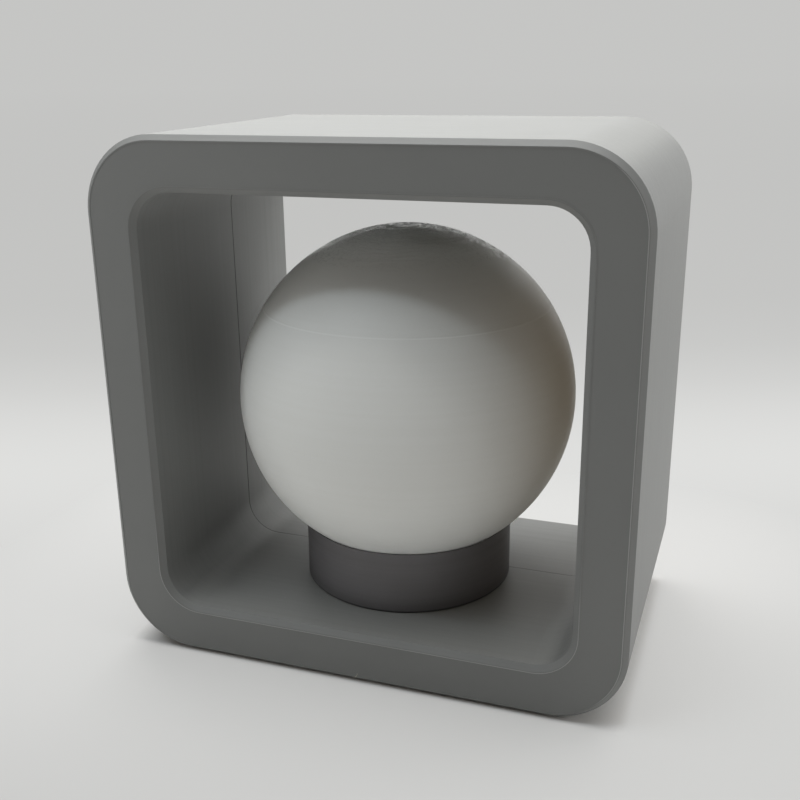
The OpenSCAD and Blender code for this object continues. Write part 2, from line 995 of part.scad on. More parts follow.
// Leads from the inlet's pin to the switch, from the switch to the driver, and up to the lamp
module red_leads() {
    low = panel_z - lead_drop;
    blade_end = frame_d / 2 - switch_body_d - blade.z - solder_gap;
    near_x = blade_x - switch_x;
    far_x = -blade_x - switch_x;
    driver_in = [driver_x - pin_pitch / 2, driver_y + driver_l / 2 + solder_gap, driver_top + header.z / 2];
    color([0.7, 0.08, 0.06]) {
        tube(bent([
            [inlet_x, frame_d / 2 - barrel_l - pin_tag_l - solder_gap, panel_z],
            [inlet_x, supply_y, panel_z],
            [(inlet_x + near_x) / 2, supply_y, low],
            [near_x, supply_y, panel_z],
            [near_x, blade_end, panel_z]
        ]), lead_r);
        tube(bent([
            [far_x, blade_end, panel_z],
            [far_x, supply_y, panel_z],
            [(far_x + driver_in.x) / 2, supply_y, low],
            [driver_in.x, supply_y, driver_in.z],
            driver_in
        ]), lead_r);
        lamp_lead(1);
    }
}

// Leads from the inlet's outer contact to the driver, and up to the lamp
module black_leads() {
    low = panel_z - 2 * lead_drop;
    near_y = supply_y - lead_bend;
    tag_x = inlet_x + tag_reach;
    driver_in = [driver_x + pin_pitch / 2, driver_y + driver_l / 2 + solder_gap, driver_top + header.z / 2];
    color(black_colour) {
        tube(bent([
            [tag_x, frame_d / 2 - barrel_l - tag.z - solder_gap, panel_z],
            [tag_x, near_y, panel_z],
            [(tag_x + driver_in.x) / 2, near_y, low],
            [driver_in.x, near_y, driver_in.z],
            driver_in
        ]), lead_r);
        lamp_lead(-1);
    }
}

front_frame();
rear_frame();
rear_screws();
frame_inserts();
feet();
lamp_collar();
collar_screws();
collar_inserts();
lead_grommet();
heat_spreader();
thermal_pad();
led_board();
led_chips();
board_resistors();
board_connector();
board_screws();
driver_board();
driver_coil();
driver_capacitors();
driver_chip();
driver_headers();
driver_screws();
inlet_body();
inlet_pin();
inlet_nut();
inlet_tag();
switch_housing();
switch_rocker();
switch_blades();
red_leads();
black_leads();
globe();
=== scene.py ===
import json
import math

import bpy
from mathutils import Matrix, Vector, noise


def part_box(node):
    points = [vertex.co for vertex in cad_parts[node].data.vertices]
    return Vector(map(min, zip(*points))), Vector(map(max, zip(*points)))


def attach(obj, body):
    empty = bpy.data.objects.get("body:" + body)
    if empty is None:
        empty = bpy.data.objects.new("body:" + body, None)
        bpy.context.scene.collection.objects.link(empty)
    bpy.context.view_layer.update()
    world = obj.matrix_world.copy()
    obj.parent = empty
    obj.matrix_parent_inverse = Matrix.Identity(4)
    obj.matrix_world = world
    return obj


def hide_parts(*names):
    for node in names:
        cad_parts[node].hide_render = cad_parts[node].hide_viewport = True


MM = 0.001
FULL_TURN = 2 * math.pi
# Height of one printed layer
LAYER = 0.2 * MM

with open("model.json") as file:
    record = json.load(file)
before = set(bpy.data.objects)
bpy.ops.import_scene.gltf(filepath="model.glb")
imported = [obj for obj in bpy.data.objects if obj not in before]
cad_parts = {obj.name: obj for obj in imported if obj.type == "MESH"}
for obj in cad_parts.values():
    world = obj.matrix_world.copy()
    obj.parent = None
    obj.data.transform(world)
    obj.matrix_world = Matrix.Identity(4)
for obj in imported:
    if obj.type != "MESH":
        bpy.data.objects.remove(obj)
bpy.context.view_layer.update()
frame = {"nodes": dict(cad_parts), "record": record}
nodes = frame["nodes"]


# Node helpers

# Which sockets a Mix node uses when it mixes colours
MIX_FACTOR, MIX_FIRST, MIX_SECOND, MIX_RESULT = 0, 6, 7, 2


def put(tree, kind, sockets=None, **settings):
    """Adds a node. Settings are its own properties; sockets are its inputs, as values or as other outputs."""
    made = tree.nodes.new(kind)
    for name, value in settings.items():
        setattr(made, name, value)
    for name, value in (sockets or {}).items():
        feed(tree, made.inputs[name], value)
    return made


def feed(tree, socket, value):
    if isinstance(value, bpy.types.NodeSocket):
        tree.links.new(value, socket)
    elif value is not None:
        socket.default_value = value


def calc(tree, operation, *values, clamp=False):
    made = put(tree, "ShaderNodeMath", operation=operation, use_clamp=clamp)
    for socket, value in zip(made.inputs, values):
        feed(tree, socket, value)
    return made.outputs[0]


def times(tree, first, second):
    return calc(tree, "MULTIPLY", first, second)


def plus(tree, first, second):
    return calc(tree, "ADD", first, second)


def minus(tree, first, second):
    return calc(tree, "SUBTRACT", first, second)


def ratio(tree, first, second):
    return calc(tree, "DIVIDE", first, second)


def greater_of(tree, first, second):
    return calc(tree, "MAXIMUM", first, second)


def distance_from(tree, value, middle):
    """How far a value lies from a middle, to either side."""
    return calc(tree, "ABSOLUTE", minus(tree, value, middle))


def vector_calc(tree, operation, *vectors):
    made = put(tree, "ShaderNodeVectorMath", dict(enumerate(vectors)), operation=operation)
    return made.outputs["Value" if operation in ("DOT_PRODUCT", "LENGTH") else "Vector"]


def parts_of(tree, vector):
    return put(tree, "ShaderNodeSeparateXYZ", {0: vector}).outputs


def mix(tree, factor, first, second):
    made = put(tree, "ShaderNodeMix", {MIX_FACTOR: factor, MIX_FIRST: first, MIX_SECOND: second},
               data_type="RGBA")
    return made.outputs[MIX_RESULT]


def between(tree, value, start, end, low=0.0, high=1.0):
    """Goes from low to high while the value goes from start to end, and stays there beyond them."""
    return put(tree, "ShaderNodeMapRange", {0: value, 1: start, 2: end, 3: low, 4: high}).outputs[0]


def mottle(tree, place, scale, detail=2.0, roughness=0.5):
    made = put(tree, "ShaderNodeTexNoise",
               {"Vector": place, "Scale": scale, "Detail": detail, "Roughness": roughness})
    return made.outputs["Fac"]


def rgb(colour, level=1.0):
    return (*(part * level for part in colour), 1.0)


# Effects that several finishes share

# The lowest of the beads, as a share of the highest
LOWEST_BEAD = 0.6
# Scale of the pores' noise against the grain's, and the levels between which pores open
PORE_SCALE = 0.31
PORE_LEVELS = (0.66, 0.74)
CLOUD_LEVELS = (0.3, 0.7)
# Share of the cells that hold no speck of dust, and a speck's reach as a share of its cell
BARE_CELLS = 0.93
SPECK_REACH = 0.11
# Scale of the patches in which dust lies against the scale of its cells
DUST_PATCH_SCALE = 0.05
DUST_PATCH_LEVELS = (0.45, 0.6)
# Dust goes from thin to full as the surface turns up.
DUST_FACING = (0.2, 0.9)
THIN_DUST = 0.12
# Scale of a metal's stains against the scale of its lines
STAIN_SCALE = 0.04
STAIN_LEVELS = (0.35, 0.7)
# A track's width along its cells' borders and a pad's reach from its cell's middle, as shares of a cell
TRACK_WIDTH = 0.16
PAD_REACH = 0.12


def new_effect(name, takes, gives):
    """An empty shader node group with named inputs and outputs."""
    tree = bpy.data.node_groups.new(name, "ShaderNodeTree")
    for label, kind, value in takes:
        socket = tree.interface.new_socket(name=label, in_out="INPUT", socket_type="NodeSocket" + kind)
        if value is not None:
            socket.default_value = value
    for label in gives:
        tree.interface.new_socket(name=label, in_out="OUTPUT", socket_type="NodeSocketFloat")
    return tree, put(tree, "NodeGroupInput").outputs, put(tree, "NodeGroupOutput").inputs


def effect(tree, group, sockets):
    return put(tree, "ShaderNodeGroup", sockets, node_tree=group).outputs


def make_print_layers():
    """Rounded beads of printed plastic stacked along one direction, each a little different."""
    tree, given, out = new_effect(
        "print_layers",
        [("Along", "Float", 0.0), ("Pitch", "Float", LAYER), ("Band Size", "Float", 3 * MM)],
        ["Ridge", "Step", "Band"])
    count = ratio(tree, given["Along"], given["Pitch"])
    part = calc(tree, "FRACT", count)
    # A parabola over each layer, which reaches 1 at its middle
    bead = times(tree, times(tree, part, minus(tree, 1.0, part)), 4.0)
    step = put(tree, "ShaderNodeTexWhiteNoise", {"W": calc(tree, "FLOOR", count)},
               noise_dimensions="1D").outputs["Value"]
    band = put(tree, "ShaderNodeTexNoise",
               {"W": ratio(tree, given["Along"], given["Band Size"]),
                "Scale": 1.0, "Detail": 4.0, "Roughness": 0.7},
               noise_dimensions="1D").outputs["Fac"]
    feed(tree, out["Ridge"], times(tree, bead, between(tree, step, 0.0, 1.0, LOWEST_BEAD, 1.0)))
    feed(tree, out["Step"], step)
    feed(tree, out["Band"], band)
    return tree


def make_fine_grain():
    """Grains and pores of a matt surface."""
    tree, given, out = new_effect(
        "fine_grain", [("Place", "Vector", None), ("Size", "Float", 0.3 * MM)], ["Grain", "Pores"])
    scale = ratio(tree, 1.0, given["Size"])
    pores = mottle(tree, given["Place"], times(tree, scale, PORE_SCALE))
    feed(tree, out["Grain"], mottle(tree, given["Place"], scale, detail=3.0, roughness=0.6))
    feed(tree, out["Pores"], between(tree, pores, *PORE_LEVELS))
    return tree


def make_cloudy_tone():
    """Broad, soft changes of tone."""
    tree, given, out = new_effect(
        "cloudy_tone", [("Place", "Vector", None), ("Size", "Float", 30 * MM)], ["Cloud"])
    clouds = mottle(tree, given["Place"], ratio(tree, 1.0, given["Size"]), detail=3.0)
    feed(tree, out["Cloud"], between(tree, clouds, *CLOUD_LEVELS))
    return tree


def make_settled_dust():
    """Specks of dust, in patches, mostly on what faces up."""
    tree, given, out = new_effect(
        "settled_dust",
        [("Place", "Vector", None), ("Upward", "Float", 0.0), ("Size", "Float", 1.1 * MM)],
        ["Dust"])
    scale = ratio(tree, 1.0, given["Size"])
    cells = put(tree, "ShaderNodeTexVoronoi", {"Vector": given["Place"], "Scale": scale}).outputs
    draw = put(tree, "ShaderNodeSeparateColor", {0: cells["Color"]}).outputs[0]
    speck = times(tree, calc(tree, "GREATER_THAN", draw, BARE_CELLS),
                  calc(tree, "LESS_THAN", cells["Distance"], SPECK_REACH))
    patches = mottle(tree, given["Place"], times(tree, scale, DUST_PATCH_SCALE))
    facing = between(tree, given["Upward"], *DUST_FACING, THIN_DUST, 1.0)
    dust = times(tree, times(tree, speck, facing), between(tree, patches, *DUST_PATCH_LEVELS))
    feed(tree, out["Dust"], dust)
    return tree


def make_worked_metal():
    """Fine lines left by rolling, drawing or turning. Place is squeezed along the lines."""
    tree, given, out = new_effect(
        "worked_metal", [("Place", "Vector", None), ("Size", "Float", 0.1 * MM)], ["Lines", "Stain"])
    scale = ratio(tree, 1.0, given["Size"])
    stain = mottle(tree, given["Place"], times(tree, scale, STAIN_SCALE), detail=4.0)
    feed(tree, out["Lines"], mottle(tree, given["Place"], scale, detail=3.0, roughness=0.7))
    feed(tree, out["Stain"], between(tree, stain, *STAIN_LEVELS))
    return tree


def make_board_tracks():
    """Copper tracks and plated holes under a board's coating."""
    tree, given, out = new_effect(
        "board_tracks", [("Place", "Vector", None), ("Size", "Float", 2.4 * MM)], ["Track", "Pad"])
    scale = ratio(tree, 1.0, given["Size"])
    near, next_near = (
        put(tree, "ShaderNodeTexVoronoi", {"Vector": given["Place"], "Scale": scale, "Randomness": 0.9},
            distance="CHEBYCHEV", feature=feature).outputs["Distance"] for feature in ("F1", "F2"))
    feed(tree, out["Track"], calc(tree, "LESS_THAN", minus(tree, next_near, near), TRACK_WIDTH))
    feed(tree, out["Pad"], calc(tree, "LESS_THAN", near, PAD_REACH))
    return tree


PRINT_LAYERS = make_print_layers()
FINE_GRAIN = make_fine_grain()
CLOUDY_TONE = make_cloudy_tone()
SETTLED_DUST = make_settled_dust()
WORKED_METAL = make_worked_metal()
BOARD_TRACKS = make_board_tracks()


# Places on the lamp that a finish marks. A mask falls off between the two places of a name that ends in FADE.

SEAM_PLACE = 10.4 * MM
SEAM_FADE = (0.20 * MM, 0.38 * MM)
# The window's wall lies nearer than this to the window's middle, sideways and up. The outer walls lie beyond.
WINDOW_MIDDLE = 100.8 * MM
WINDOW_WALL_REACH = 90 * MM
# The seam is nearly closed on the window's floor and opens between these heights.
SEAM_OPENS = (24 * MM, 44 * MM)
CLOSED_SEAM = 0.12

# The fine beads stand proud of the front face. The window's lower bead and the right outer one get a painted
# highlight; the upper beads get only a faint one.
BEAD_FADE = (-62.12 * MM, -62.07 * MM)
LOWER_BEAD_FADE = (25 * MM, 60 * MM)
UPPER_BEAD_HIGHLIGHT = 0.08
RIGHT_BEAD = (86 * MM, 92 * MM)
# The painted highlight stops short of the outer bead's foot.
BEAD_FOOT = (8 * MM, 14 * MM)
BEAD_FOOT_HIGHLIGHT = 0.1

RING_HEIGHT = 133.7 * MM
RING_FADE = (0.10 * MM, 0.40 * MM)

# A painted highlight lies on what faces up by these shares, on the top above these heights and on the
# window's sill, with less toward the sill's back in the top bar's shade.
TOP_FACING = (0.50, 0.85)
TOP_HEIGHTS = (185 * MM, 195 * MM)
SILL_FACING = (0.80, 0.97)
SILL_FADE = (-62 * MM, -15 * MM)
SHADED_SILL_HIGHLIGHT = 0.30

# The collar stands on the window's floor at this height.
COLLAR_FOOT = 20.2 * MM
# Painted shade: a dark line where the collar meets the floor, and darkening up its wall.
FOOT_SHADOW_FADE = (COLLAR_FOOT + 0.55 * MM, COLLAR_FOOT + 1.05 * MM)
FOOT_SHADE_FADE = (COLLAR_FOOT, COLLAR_FOOT + 7 * MM)
FOOT_SHADE_SHARE = 0.30

# Above these heights the globe's layers show as flat steps.
CROWN_HEIGHTS = (150 * MM, 154 * MM)
FLECK_SIZE = 1.2 * MM
FLECK_LEVELS = (0.50, 0.58)


def shell_seam(tree, place):
    """1 in the thin dark line of the opening where the shells meet on the window's walls."""
    spot = parts_of(tree, place)
    off = distance_from(tree, spot["Y"], SEAM_PLACE)
    sideways = calc(tree, "ABSOLUTE", spot["X"])
    upright = distance_from(tree, spot["Z"], WINDOW_MIDDLE)
    inside = calc(tree, "LESS_THAN", greater_of(tree, sideways, upright), WINDOW_WALL_REACH)
    dark_line = times(tree, inside, between(tree, off, *SEAM_FADE, 1.0, 0.0))
    return times(tree, dark_line, between(tree, spot["Z"], *SEAM_OPENS, CLOSED_SEAM, 1.0))


def painted_bead_highlight(tree, place):
    """1 on the tops of the front face's fine beads, where a painted highlight lies."""
    spot = parts_of(tree, place)
    proud = between(tree, spot["Y"], *BEAD_FADE, 1.0, 0.0)
    lower = between(tree, spot["Z"], *LOWER_BEAD_FADE, 1.0, UPPER_BEAD_HIGHLIGHT)
    right = between(tree, spot["X"], *RIGHT_BEAD)
    highlit = times(tree, proud, greater_of(tree, lower, right))
    return times(tree, highlit, between(tree, spot["Z"], *BEAD_FOOT, BEAD_FOOT_HIGHLIGHT, 1.0))


def ring_line(tree, place):
    """1 on the globe's fine raised ring."""
    off = distance_from(tree, parts_of(tree, place)["Z"], RING_HEIGHT)
    return between(tree, off, *RING_FADE, 1.0, 0.0)


def painted_top_highlight(tree, place, facing):
    """1 where a painted highlight lies on the top and on the window's sill, and less toward the sill's shaded
    back.
    """
    spot = parts_of(tree, place)
    top = times(tree, between(tree, facing, *TOP_FACING), between(tree, spot["Z"], *TOP_HEIGHTS))
    sill = times(tree, between(tree, facing, *SILL_FACING),
                 between(tree, spot["Y"], *SILL_FADE, 1.0, SHADED_SILL_HIGHLIGHT))
    return greater_of(tree, top, sill)


def painted_foot_shade(tree, place):
    """1 in the painted dark line of shade under the collar, and less in the painted shade on its wall above.
    """
    height = parts_of(tree, place)["Z"]
    dark_line = between(tree, height, *FOOT_SHADOW_FADE, 1.0, 0.0)
    shaded_foot = between(tree, height, *FOOT_SHADE_FADE, FOOT_SHADE_SHARE, 0.0)
    return greater_of(tree, dark_line, shaded_foot)


def crown_flecks(tree, place):
    """Masks for the globe's crown, whose layers are dull but for short shiny flecks along their edges."""
    crown = between(tree, parts_of(tree, place)["Z"], *CROWN_HEIGHTS)
    fleck = between(tree, mottle(tree, place, 1 / FLECK_SIZE, detail=3.0), *FLECK_LEVELS)
    return times(tree, crown, minus(tree, 1.0, fleck)), times(tree, crown, fleck)


# Finishes

# Levels between which a grain's noise mostly lies
GRAIN_LEVELS = (0.3, 0.7)
# Shares by which dust, pores and stains cover what is under them
DUST_COVER = 0.5
PORE_COVER = 0.12
STAIN_COVER = 0.6

# How far bands, clouds and single layers each deepen the tone of printed plastic
BAND_LEVELS = (0.3, 0.7)
BAND_DEPTH = 0.35
CLOUD_DEPTH = 0.25
STEP_DEPTH = 0.08
PORE_LEVEL = 0.8
DARK_LINE_LEVEL = 0.12
HIGHLIGHT_TONE = (0.42, 0.42, 0.40, 1.0)
HIGHLIGHT_COVER = (0.34, 0.44)
# Painted shade darkens the crown's dull places where they face straight up.
CROWN_FACING = (0.965, 0.99)
CROWN_SHADE_COVER = 0.5
CROWN_SHADE_LEVEL = 0.2
CROWN_ROUGHNESS = 0.90
FLECK_ROUGHNESS = 0.22
# Levels between which the sum of the grain's noise and the bands' mostly lies
PRINT_LEVELS = (0.6, 1.4)
PRINT_RELIEF = 0.006 * MM

MOULDED_DUST_TONE = (0.5, 0.5, 0.48, 1.0)
PAD_METALLIC = 0.9
BOARD_ROUGHNESS = (0.26, 0.36)
TRACK_RELIEF = 0.03 * MM
LINE_RELIEF = 0.003 * MM
PART_RELIEF = 0.004 * MM


def new_finish(name):
    """A material with its Principled shader and the place on the surface."""
    finish = bpy.data.materials.new(name)
    finish.use_nodes = True
    tree = finish.node_tree
    place = put(tree, "ShaderNodeTexCoord").outputs["Object"]
    return finish, tree, tree.nodes["Principled BSDF"], place


def upward(tree):
    """How far the surface faces up: 1 straight up, 0 upright, -1 straight down."""
    return parts_of(tree, put(tree, "ShaderNodeNewGeometry").outputs["Normal"])["Z"]


def raised(tree, shader, height):
    """Turns a height in metres into the surface's relief."""
    bump = put(tree, "ShaderNodeBump", {"Height": height, "Distance": 1.0, "Strength": 1.0})
    feed(tree, shader.inputs["Normal"], bump.outputs["Normal"])


def printed_plastic(name, tone, deep, axis, rough, ridge=PRINT_RELIEF, dust_tone=(0.62, 0.62, 0.60),
                    dark_line=None, pale_line=None, pale_level=1.75, highlight=None, dull=None, gloss=0.5):
    """Matt printed plastic whose layers are stacked along one axis.

    Dark_line, pale_line, highlight and dull are masks for dark lines, pale lines, a painted highlight and
    dull places. The dark lines are the seam and the painted shade at the collar's foot, the pale lines are
    the painted highlight on the beads and the globe's paler ring, and the dull places also get painted shade."""
    finish, tree, shader, place = new_finish(name)
    facing = upward(tree)
    layers = effect(tree, PRINT_LAYERS, {"Along": parts_of(tree, place)[axis], "Pitch": LAYER})
    grain = effect(tree, FINE_GRAIN, {"Place": place, "Size": 0.25 * MM})
    clouds = effect(tree, CLOUDY_TONE, {"Place": place, "Size": 45 * MM})["Cloud"]
    dust = effect(tree, SETTLED_DUST, {"Place": place, "Upward": facing})["Dust"]

    depth = plus(tree, between(tree, layers["Band"], *BAND_LEVELS, 0.0, BAND_DEPTH),
                 times(tree, clouds, CLOUD_DEPTH))
    depth = calc(tree, "ADD", depth, times(tree, layers["Step"], STEP_DEPTH), clamp=True)
    colour = mix(tree, depth, rgb(tone), rgb(deep))
    colour = mix(tree, times(tree, grain["Pores"], PORE_COVER), colour, rgb(deep, PORE_LEVEL))
    colour = mix(tree, times(tree, dust, DUST_COVER), colour, rgb(dust_tone))
    # Painted highlight: a pale tone on the top and on the window's sill.
    if highlight:
        highlight_share = times(tree, highlight(tree, place, facing), between(tree, clouds, 0.0, 1.0, *HIGHLIGHT_COVER))
        colour = mix(tree, highlight_share, colour, HIGHLIGHT_TONE)
    # Pale lines: a painted highlight on the front face's beads, and the globe's paler ring.
    if pale_line:
        colour = mix(tree, pale_line(tree, place), colour, rgb(tone, pale_level))
    # Dark lines: the seam between the shells, and painted shade at the collar's foot.
    if dark_line:
        colour = mix(tree, dark_line(tree, place), colour, rgb(deep, DARK_LINE_LEVEL))
    roughness = between(tree, plus(tree, grain["Grain"], layers["Band"]), *PRINT_LEVELS,
                        rough - 0.05, rough + 0.06)
    if dull:
        dulled, shiny = dull(tree, place)
        # Painted shade on the crown's dull places that face up.
        shaded = times(tree, dulled, between(tree, facing, *CROWN_FACING, 0.0, CROWN_SHADE_COVER))
        colour = mix(tree, shaded, colour, rgb(deep, CROWN_SHADE_LEVEL))
        roughness = between(tree, dulled, 0.0, 1.0, roughness, CROWN_ROUGHNESS)
        roughness = between(tree, shiny, 0.0, 1.0, roughness, FLECK_ROUGHNESS)
    feed(tree, shader.inputs["Base Color"], colour)
    feed(tree, shader.inputs["Roughness"], roughness)
    shader.inputs["Specular IOR Level"].default_value = gloss
    raised(tree, shader, plus(tree, times(tree, layers["Ridge"], ridge),
                              times(tree, grain["Grain"], PRINT_RELIEF)))
    return finish


def moulded(name, tone, rough, speckle=0.15, size=0.4 * MM, relief=0.006 * MM, coat=0.0):
    """Moulded plastic or rubber with a fine grain and a little dust."""
    finish, tree, shader, place = new_finish(name)
    facing = upward(tree)
    grain = effect(tree, FINE_GRAIN, {"Place": place, "Size": size})["Grain"]
    clouds = effect(tree, CLOUDY_TONE, {"Place": place, "Size": 6 * MM})["Cloud"]
    dust = effect(tree, SETTLED_DUST, {"Place": place, "Upward": facing, "Size": 0.5 * MM})["Dust"]
    lighter = tuple(min(1.0, part * 1.25 + 0.01) for part in tone)
    colour = mix(tree, times(tree, clouds, speckle), rgb(tone), rgb(lighter))
    colour = mix(tree, times(tree, dust, DUST_COVER), colour, MOULDED_DUST_TONE)
    feed(tree, shader.inputs["Base Color"], colour)
    feed(tree, shader.inputs["Roughness"], between(tree, grain, *GRAIN_LEVELS, rough - 0.06, rough + 0.08))
    shader.inputs["Coat Weight"].default_value = coat
    raised(tree, shader, times(tree, grain, relief))
    return finish


def worked(name, tone, dull, rough, squeeze):
    """Metal with drawn or turned lines and a little tarnish."""
    finish, tree, shader, place = new_finish(name)
    squeezed = vector_calc(tree, "MULTIPLY", place, squeeze)
    metal = effect(tree, WORKED_METAL, {"Place": squeezed, "Size": 0.12 * MM})
    colour = mix(tree, times(tree, metal["Stain"], STAIN_COVER), rgb(tone), rgb(dull))
    roughness = between(tree, metal["Lines"], *GRAIN_LEVELS, rough - 0.08, rough + 0.12)
    feed(tree, shader.inputs["Base Color"], colour)
    feed(tree, shader.inputs["Roughness"], roughness)
    shader.inputs["Metallic"].default_value = 1.0
    raised(tree, shader, times(tree, metal["Lines"], LINE_RELIEF))
    return finish


def coated_board(name, coat, track, pad, size):
    """Circuit board: tracks show as raised bands under the coating, and pads are bare metal."""
    finish, tree, shader, place = new_finish(name)
    tracks = effect(tree, BOARD_TRACKS, {"Place": place, "Size": size})
    grain = effect(tree, FINE_GRAIN, {"Place": place, "Size": 0.2 * MM})["Grain"]
    colour = mix(tree, tracks["Track"], rgb(coat), rgb(track))
    feed(tree, shader.inputs["Base Color"], mix(tree, tracks["Pad"], colour, rgb(pad)))
    feed(tree, shader.inputs["Metallic"], times(tree, tracks["Pad"], PAD_METALLIC))
    feed(tree, shader.inputs["Roughness"], between(tree, grain, *GRAIN_LEVELS, *BOARD_ROUGHNESS))
    raised(tree, shader, times(tree, tracks["Track"], TRACK_RELIEF))
    return finish


def two_tone(name, low_tone, high_tone, level, low_rough, high_rough, metal=0.0):
    """Small component whose upper part, above a height, has another tone."""
    finish, tree, shader, place = new_finish(name)
    above = calc(tree, "GREATER_THAN", parts_of(tree, place)["Z"], level)
    grain = effect(tree, FINE_GRAIN, {"Place": place, "Size": 0.15 * MM})["Grain"]
    low = mix(tree, times(tree, grain, 0.3), rgb(low_tone), rgb(low_tone, 0.7))
    high = mix(tree, times(tree, grain, 0.2), rgb(high_tone), rgb(high_tone, 0.8))
    feed(tree, shader.inputs["Base Color"], mix(tree, above, low, high))
    feed(tree, shader.inputs["Roughness"], between(tree, above, 0.0, 1.0, low_rough, high_rough))
    feed(tree, shader.inputs["Metallic"], times(tree, above, metal))
    raised(tree, shader, times(tree, grain, PART_RELIEF))
    return finish


FINISHES = {
    "frame_grey": printed_plastic(
        "frame_grey", (0.229, 0.232, 0.225), (0.199, 0.202, 0.196), "Y", 0.52,
        dark_line=shell_seam, pale_line=painted_bead_highlight, highlight=painted_top_highlight, gloss=0.4),
    "collar_grey": printed_plastic(
        "collar_grey", (0.166, 0.160, 0.165), (0.143, 0.138, 0.142), "Z", 0.50, dark_line=painted_foot_shade),
    "globe_opal": printed_plastic(
        "globe_opal", (0.882, 0.891, 0.866), (0.852, 0.858, 0.824), "Z", 0.42,
        ridge=0.004 * MM, dust_tone=(0.55, 0.54, 0.50),
        pale_line=ring_line, pale_level=1.05, dull=crown_flecks, gloss=0.22),
    "rubber_black": moulded("rubber_black", (0.022, 0.022, 0.023), 0.75),
    "steel": worked("steel", (0.62, 0.62, 0.64), (0.45, 0.45, 0.46), 0.32, (1.0, 1.0, 6.0)),
    "brass": worked("brass", (0.78, 0.58, 0.26), (0.52, 0.37, 0.16), 0.30, (1.0, 6.0, 1.0)),
    "aluminium": worked("aluminium", (0.78, 0.79, 0.80), (0.62, 0.63, 0.65), 0.34, (0.15, 3.0, 1.0)),
    "pad_grey": moulded("pad_grey", (0.42, 0.46, 0.50), 0.70, size=0.8 * MM, relief=0.02 * MM),
    "board_white": coated_board(
        "board_white", (0.84, 0.84, 0.81), (0.88, 0.87, 0.83), (0.75, 0.74, 0.70), 3.6 * MM),
    "board_green": coated_board(
        "board_green", (0.015, 0.130, 0.050), (0.030, 0.200, 0.080), (0.70, 0.68, 0.60), 2.4 * MM),
    "chip_yellow": two_tone(
        "chip_yellow", (0.85, 0.84, 0.80), (0.93, 0.72, 0.16), 32.59 * MM, 0.45, 0.25),
    "black_parts": two_tone(
        "black_parts", (0.030, 0.030, 0.032), (0.050, 0.050, 0.053), 8.9 * MM, 0.5, 0.55),
    "switch_black": moulded("switch_black", (0.018, 0.018, 0.019), 0.32, size=0.3 * MM, coat=0.1),
    "header_cream": moulded("header_cream", (0.78, 0.73, 0.60), 0.45, speckle=0.3),
    "can_silver": two_tone(
        "can_silver", (0.03, 0.03, 0.03), (0.74, 0.75, 0.77), 8.5 * MM, 0.5, 0.28, metal=1.0),
    "lead_red": moulded("lead_red", (0.50, 0.020, 0.018), 0.38, coat=0.15),
    "lead_black": moulded("lead_black", (0.018, 0.018, 0.018), 0.38, coat=0.15),
}


def dress_nodes():
    """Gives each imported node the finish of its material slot."""
    for row in frame["record"]["subparts"]:
        solid = nodes[row["node"]]
        if not solid.material_slots:
            solid.data.materials.append(None)
        for holder in solid.material_slots:
            holder.material = FINISHES[row["material_slot"]]


# Mesh pieces

def add_piece(name, points, faces, slot, body):
    mesh = bpy.data.meshes.new(name)
    mesh.from_pydata(points, [], faces)
    mesh.update()
    mesh.materials.append(FINISHES[slot])
    piece = bpy.data.objects.new(name, mesh)
    bpy.context.scene.collection.objects.link(piece)
    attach(piece, body)
    return piece


def turned(outline, sides, wobble):
    """Points and faces of a closed outline of (radius, height, roughness) turned about the Z axis."""
    points, rows = [], []
    for radius, height, roughness in outline:
        count = sides if radius > 0.0 else 1
        rows.append(range(len(points), len(points) + count))
        for side in range(count):
            turn = FULL_TURN * side / sides
            reach = radius + roughness * wobble(turn, height)
            points.append((reach * math.cos(turn), reach * math.sin(turn), height))
    faces = []
    for low, high in zip(rows, rows[1:] + rows[:1]):
        for side in range(sides if max(len(low), len(high)) > 1 else 0):
            after = (side + 1) % sides
            if len(low) == 1:
                faces.append((low[0], high[after], high[side]))
            elif len(high) == 1:
                faces.append((low[side], low[after], high[0]))
            else:
                faces.append((low[side], low[after], high[after], high[side]))
    return points, faces


GLOBE_SIDES = 224
GLOBE_WALL = 1.6 * MM
NECK_REACH = 38.9 * MM
MOUTH_REACH = 36.7 * MM
NECK_EDGE = 0.4 * MM
BALL_ROWS = 104
LINING_ROWS = 48
# The fine ring: its section goes up by shares of its half width and out by shares of its reach.
RING_REACH = 0.07 * MM
RING_HALF = 0.35 * MM
RING_SECTION = ((-1.0, 0.0), (-0.5, 0.75), (0.0, 1.0), (0.5, 0.75), (1.0, 0.0))
# Depth below the crown at which the first layer's edge lies
FIRST_EDGE = 0.244 * MM
TERRACES = 44
SHARP_TERRACES = 18
# A terrace's section goes down and in by shares of the layer.
TERRACE_SECTION = ((0.96, 0.03), (0.75, 0.0), (0.30, 0.0), (0.04, 0.25))
# The layers' edges wander by these amounts, in long swings and in short ones.
WOBBLE_SWINGS = 3.0
WOBBLE_LAYER_STEP = 1.7
WOBBLE_SHORTER = 5
WOBBLE_LONG = 0.16 * MM
WOBBLE_SHORT = 0.05 * MM
SHARP_EDGE = math.radians(40)


